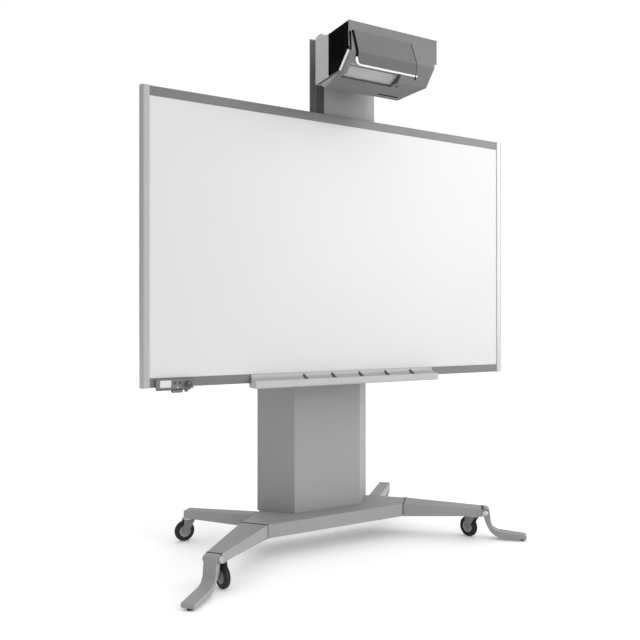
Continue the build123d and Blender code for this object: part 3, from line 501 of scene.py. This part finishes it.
# ---------------------------------------------------------------- fasteners
def screw_profile(radius, height):
    """Button head with a hexagon socket, seated on its surface."""
    socket = radius * 0.42
    return [(radius, -0.0004), (radius, height * 0.35), (radius * 0.93, height * 0.68),
            (radius * 0.74, height * 0.92), (radius * 0.56, height), (-socket, height),
            (-socket, height * 0.35), (0, height * 0.30)]


def screws(name, spots, normal, radius, body, slot="bright_steel"):
    def build(bm):
        for spot in spots:
            revolve(bm, screw_profile(radius, radius * 0.55), spot, normal, steps=36)
    smooth(make(name, build, slot, body), 30)


_, column_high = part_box("column_back_panel")
screws("column_back_screws",
       [(x, column_high[1], z) for x in (-0.295, 0.295) for z in (0.20, 0.52, 0.84, 1.15)],
       (0, 1, 0), 0.0055, "base")
_, mast_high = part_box("mast_back_cover")
screws("mast_back_screws",
       [(x, mast_high[1], z) for x in (-0.122, 0.122) for z in (1.02, 1.26, 1.66, 2.0, 2.38)],
       (0, 1, 0), 0.005, "board_carriage")
_, vent_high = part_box("side_vent_panels")
VENT_SCREWS = ((-0.470, 2.334), (-0.326, 2.334), (-0.326, 2.182))
for side, word in ((-1, "left"), (1, "right")):
    face = vent_high[0] * side
    screws(f"vent_screws_{word}", [(face, y, z) for y, z in VENT_SCREWS],
           (side, 0, 0), 0.0038, "board_carriage", "vent_black")

rail_low, rail_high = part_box("board_brackets")
RAIL_Z = (1.110, 1.790)
CARRIAGE_PLATE = 0.008
screws("cross_rail_bolts",
       [(x, rail_high[1], z) for z in RAIL_Z for x in (-0.520, -0.095, 0.095, 0.520)],
       (0, 1, 0), 0.0085, "board_carriage")
screws("carriage_plate_bolts",
       [(x, mast_high[1] + CARRIAGE_PLATE, z) for x in (-0.105, 0.105) for z in (1.350, 1.520)],
       (0, 1, 0), 0.0090, "board_carriage")


def build_rail_plugs(bm):
    """Caps in the open ends of the cross rails."""
    back = rail_high[1]
    for x in (rail_low[0], rail_high[0]):
        for z in RAIL_Z:
            brick(bm, (x - 0.0018, back - 0.0255, z - 0.0245), (x + 0.0018, back - 0.0005, z + 0.0245))


make("cross_rail_plugs", build_rail_plugs, "button_black", "board_carriage")


# ---------------------------------------------------------------- base: beam end rims, seals, and black strips painted as the shade in the foot gaps
FRONT_FACE = ((0.379, -0.0216), (0.470, 0.0804))
BEAM_LOW, BEAM_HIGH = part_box("base_beam")[0][2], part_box("base_beam")[1][2]
RIM_PROUD = 0.0020            # the beam's end stands out over the leg by this


def arm_axes(side):
    """Middle of a front leg's face on the beam, directions along the leg and the face, half the width."""
    (x0, y0), (x1, y1) = FRONT_FACE
    a, b = Vector((x0 * side, y0, 0)), Vector((x1 * side, y1, 0))
    along = (b - a).normalized()
    outward = Vector((along.y, -along.x, 0)) * side
    return (a + b) / 2, outward, along, (b - a).length / 2


def sleeve(bm, start, end):
    """Block over each front leg's joint, between two (distance along the leg, height over the beam) pairs."""
    for side in (-1, 1):
        middle, outward, along, half = arm_axes(side)
        for v in brick(bm, (0, -1, 0), (1, 1, 1)):
            u, proud = end if v.co.x > 0.5 else start
            z = BEAM_HIGH + proud if v.co.z > 0.5 else BEAM_LOW + 0.0010
            v.co = middle + outward * u + along * (half + proud) * v.co.y + Vector((0, 0, z))


def build_rims(bm):
    sleeve(bm, (-0.0120, -0.0002), (0.0006, RIM_PROUD))


def build_seals(bm):
    sleeve(bm, (0.0004, RIM_PROUD - 0.0003), (0.0030, RIM_PROUD - 0.0008))


make("beam_end_rims", build_rims, "frame_grey", "base")
make("leg_joint_seals", build_seals, "pad_rubber", "base")

LEG_LEN = 0.3976
FOOT_GAP_SHADE_HALF = 0.0361
# the black strip's section along the leg and up: a lip on the leg's end that clears the foot's round hub; it is
# painted shade for the deep gap between them
FOOT_GAP_SHADE = ((-0.0040, 0.1558), (0.0050, 0.1558), (0.0034, 0.1549), (0.0003, 0.1529), (-0.0022, 0.1509),
          (-0.0045, 0.1480), (-0.0064, 0.1450), (-0.0090, 0.1450), (-0.0090, 0.1520))


def build_foot_gap_shade(bm):
    for side in (-1, 1):
        middle, outward, along, _ = arm_axes(side)
        rings = []
        for v in (-FOOT_GAP_SHADE_HALF, FOOT_GAP_SHADE_HALF):
            rings.append([bm.verts.new(middle + outward * (LEG_LEN + u) + along * v + Vector((0, 0, z)))
                          for u, z in FOOT_GAP_SHADE])
        capped(bm, rings)


# painted shade: black rubber strips fill the gap above each foot's hub at the front leg's end
make("foot_gap_shade", build_foot_gap_shade, "pad_rubber", "base")


# ---------------------------------------------------------------- projector: seals, window trim, sensor
HOOD_FRONT, HOOD_BEND_Z = -0.4836, 2.222
CHIN_Y, CHIN_Z, TAIL_Y, TAIL_Z = -0.4226, 2.151, -0.2256, 2.146
SLOPE = (CHIN_Y - HOOD_FRONT) / (HOOD_BEND_Z - CHIN_Z)
slope_normal = Vector((0, -1, -SLOPE)).normalized()


def on_hood(x, z, lift):
    """Point on the hood's upright or sloping front, raised off it."""
    if z >= HOOD_BEND_Z:
        return Vector((x, HOOD_FRONT - lift, z))
    return Vector((x, HOOD_FRONT + (HOOD_BEND_Z - z) * SLOPE, z)) + slope_normal * lift


def ribbon(bm, inner, outer, lift, sink=0.0005):
    """Strip that follows the hood's front between two lines of (x, z) points."""
    rows = []
    for (xa, za), (xb, zb) in zip(inner, outer):
        rows.append([bm.verts.new(on_hood(xa, za, -sink)), bm.verts.new(on_hood(xa, za, lift)),
                     bm.verts.new(on_hood(xb, zb, lift)), bm.verts.new(on_hood(xb, zb, -sink))])
    capped(bm, rows)


def shifted(points, dx):
    return [(x + dx, z) for x, z in points]


door_left = [(-0.2055, 2.3040), (-0.1940, 2.2630), (-0.1832, 2.2220), (-0.1775, 2.2075)]
door_right = [(0.0835, 2.3040), (0.0990, 2.2630), (0.1145, 2.2220), (0.1400, 2.1710)]
corner_inner = [(-0.1766, 2.2070), (-0.1706, 2.1982), (-0.1626, 2.1892), (-0.1500, 2.1864), (-0.1290, 2.1864)]
corner_outer = [(-0.1858, 2.2040), (-0.1796, 2.1926), (-0.1676, 2.1848), (-0.1526, 2.1814), (-0.1290, 2.1807)]


def build_door_seals(bm):
    ribbon(bm, shifted(door_left, -0.0085), shifted(door_left, -0.0004), 0.0042)
    ribbon(bm, shifted(door_right, 0.0006), shifted(door_right, 0.0040), 0.0040)
    ribbon(bm, [(-0.2272, 2.2985), (-0.2225, 2.2235)], [(-0.2170, 2.2985), (-0.2150, 2.2235)], 0.0008)


make("door_seals", build_door_seals, "vent_black", "board_carriage")


def build_corner_trim(bm):
    ribbon(bm, corner_outer, corner_inner, 0.0034)


smooth(make("door_corner_trim", build_corner_trim, "trim_white", "board_carriage"), 30)


def under_z(y):
    """Height of the projector's underside."""
    return CHIN_Z + (TAIL_Z - CHIN_Z) * (y - CHIN_Y) / (TAIL_Y - CHIN_Y)


WINDOW_X = (-0.196, 0.062)
WINDOW_Y = (-0.4716, -0.3656)


def wall_prism(bm, xs, outline):
    """Plate between two x values with an outline of (y, z) points."""
    capped(bm, [[bm.verts.new((x, y, z)) for y, z in outline] for x in xs])


def build_window_frame_and_shadow_line(bm):
    rear = WINDOW_Y[1]
    brick(bm, (WINDOW_X[0], rear - 0.0045, under_z(rear) - 0.0012),
          (WINDOW_X[1] + 0.002, rear + 0.0015, under_z(rear) + 0.0042))
    front_z = HOOD_BEND_Z - (WINDOW_Y[0] - HOOD_FRONT) / SLOPE
    wall_prism(bm, (WINDOW_X[1] - 0.0035, WINDOW_X[1] + 0.0005),
               [(WINDOW_Y[0], front_z), (CHIN_Y, CHIN_Z - 0.0008), (rear, under_z(rear) - 0.0008),
                (-0.3620, 2.1560), (-0.4440, 2.1915)])
    # painted shadow: a thin black strip along the window's upper edge stands in for the shadow under the white
    # trim above it
    upper, lower = ([(x, z) for x in WINDOW_X] for z in (2.1772, 2.1742))
    ribbon(bm, upper, lower, 0.0008)


make("window_frame_and_shadow_line", build_window_frame_and_shadow_line, "button_black", "board_carriage")


def build_sensor(bm):
    centre = (0.0865, -0.3815, under_z(-0.3815))
    revolve(bm, [(0.0070, -0.0005), (0.0070, 0.0012), (0.0062, 0.0020), (0.0052, 0.0020), (0.0050, 0.0034),
                 (0.0040, 0.0046), (0.0022, 0.0053), (0, 0.0055)], centre, (0, 0, -1), steps=40)


smooth(make("remote_sensor", build_sensor, "engine_dark", "board_carriage"), 40)


def build_air_slot(bm):
    y = -0.2626
    wide = 0.0045
    for k in range(6):
        x = 0.0665 + 0.0182 * k
        brick(bm, (x, y - wide, under_z(y) - 0.0008), (x + 0.0158, y + wide, under_z(y) + 0.0010))


make("rear_air_slot", build_air_slot, "vent_black", "board_carriage")


HOOD_HALF = 0.218
RIM_OUT = 0.2290
RIM_BACK = -0.4812
HOOD_TOP = 2.346
RIM_BOTTOM = 2.238


def build_side_rims(bm):
    """The hood's front edge carried out over the vent panels."""
    outline = [(HOOD_FRONT, HOOD_TOP), (HOOD_FRONT, RIM_BOTTOM), (RIM_BACK, RIM_BOTTOM + 0.0030),
               (RIM_BACK, HOOD_TOP)]
    for side in (-1, 1):
        wall_prism(bm, ((HOOD_HALF - 0.0010) * side, RIM_OUT * side), outline)


make("hood_side_rims", build_side_rims, "projector_grey", "board_carriage")


def build_side_bands(bm):
    outline = [(-0.4060, 2.1590), (-0.2260, 2.1565), (-0.2260, 2.1690), (-0.3150, 2.1684), (-0.3940, 2.1664)]
    for side in (-1, 1):
        wall_prism(bm, ((HOOD_HALF - 0.0010) * side, (HOOD_HALF + 0.0012) * side), outline)


make("hood_side_bands", build_side_bands, "fork_grey", "board_carriage")

TAIL_IN = 0.0185


def build_edge_lips(bm):
    """Bevelled strips that close the body's lower side edges, wider towards the tail."""
    for side in (-1, 1):
        rings = []
        for y, tuck in ((CHIN_Y + 0.0005, 0.0006), (TAIL_Y + 0.0010, TAIL_IN)):
            low, high = under_z(y) - 0.0006, under_z(y) + 0.0115
            edge = HOOD_HALF - tuck
            corners = ((HOOD_HALF + 0.0010, high), (edge - 0.0030, low), (edge - 0.0060, high))
            rings.append([bm.verts.new((x * side, y, z)) for x, z in corners])
        capped(bm, rings)


make("hood_edge_lips", build_edge_lips, "cover_grey", "board_carriage")


# ---------------------------------------------------------------- mast: dark strips painted as the shade along its left edge
# painted shade: two thin black sheets stand in for the shade in the crevice beside the mast's front cover
def build_mast_crevice_shade(bm):
    for k in range(2):
        rows = []
        for x, y in ((-0.1125, -0.0716), (-0.1500, -0.0640)):
            lift = 0.0012 + 0.0006 * k
            inset = 0.0030 * k
            x += inset * (-1 if x > -0.13 else 1)
            rows.append([bm.verts.new((x, y - lift, z)) for z in (1.000 + inset, 2.412 - inset)]
                        + [bm.verts.new((x, y + 0.0020, z)) for z in (2.412 - inset, 1.000 + inset)])
        capped(bm, rows)


make("mast_crevice_shade", build_mast_crevice_shade, "engine_dark", "board_carriage")


def build_mast_wing_shade(bm):
    """Flat cover over the outer part of the mast's left edge, in the mast's dark coat as painted shade for that
    shaded wing.
    """
    rows = []
    for x, y in ((-0.1522, -0.0634), (-0.1794, -0.0578)):
        rows.append([bm.verts.new((x, y + out, z)) for out, z in
                     ((-0.0014, 0.990), (-0.0014, 2.416), (0.0020, 2.416), (0.0020, 0.990))])
    capped(bm, rows)


make("mast_wing_shade", build_mast_wing_shade, "mast_grey", "board_carriage")


# ---------------------------------------------------------------- control box: blank plate, lamp, knob
CONTROL_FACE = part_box("control_box")[0][1]


def build_plate(bm):
    rounded_plate(bm, (-0.8865, CONTROL_FACE, 0.8425), (0.047, 0.029), 0.004, 0.0008)


smooth(make("blank_plate", build_plate, "board_white", "board_carriage"), 30)


def build_lamp(bm):
    revolve(bm, [(0.0022, -0.0003), (0.0022, 0.0006), (0.0016, 0.0011), (0, 0.0013)],
            (-0.835, CONTROL_FACE, 0.8275), (0, -1, 0), steps=24)


smooth(make("status_lamp", build_lamp, "trim_white", "board_carriage"), 40)
knob_at = Vector(joints["volume_turn"]["pos_m"])
knob_low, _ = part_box("volume_knob")
RIBS = 30


def build_knob(bm):
    front, back = knob_low[1], CONTROL_FACE - 0.0005
    depth = back - front
    top = 0.0140
    profile = [(0.0150, 0.0), (0.0152, 0.0012), (0.0141, 0.0020), (0.0138, depth - 0.0032),
               (0.0132, depth - 0.0012), (0.0118, depth - 0.0003), (0.0100, depth), (0.0092, depth - 0.0006),
               (0, depth - 0.0008)]
    revolve(bm, [(0, 0.0)] + [(min(r, top), h) for r, h in profile], (knob_at.x, back, knob_at.z), (0, -1, 0),
            steps=RIBS * 4)
    for k in range(RIBS):
        turn = 2 * math.pi * k / RIBS
        outward = Vector((math.cos(turn), 0, math.sin(turn)))
        along = Vector((-math.sin(turn), 0, math.cos(turn)))
        for v in brick(bm, (0.0128, 0.0022, -0.0004), (0.0140, depth - 0.0034, 0.0004)):
            r, h, w = v.co
            v.co = Vector((knob_at.x, back - h, knob_at.z)) + outward * r + along * w


smooth(make("knob_cap", build_knob, "button_black", "volume_knob", ["volume_knob"]), 30)


def build_pointer(bm):
    brick(bm, (knob_at.x - 0.0006, knob_low[1] - 0.0001, knob_at.z + 0.0030),
          (knob_at.x + 0.0006, knob_low[1] + 0.0012, knob_at.z + 0.0088))


make("knob_pointer", build_pointer, "trim_white", "volume_knob")


# ---------------------------------------------------------------- tray end plugs
cap_low, cap_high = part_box("tray_end_caps")
PLUG = [(0.0055, -0.0003), (0.0055, 0.0008), (0.0047, 0.0016), (0.0030, 0.0018), (0.0026, 0.0010),
        (0, 0.0009)]


def build_plugs(bm):
    for x, out in ((cap_low[0], -1), (cap_high[0], 1)):
        for y, z in ((-0.1440, 0.8235), (-0.0900, 0.8210)):
            revolve(bm, PLUG, (x, y, z), (out, 0, 0), steps=32)


smooth(make("end_cap_plugs", build_plugs, "tray_cap", "board_carriage"), 30)

lo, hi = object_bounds()
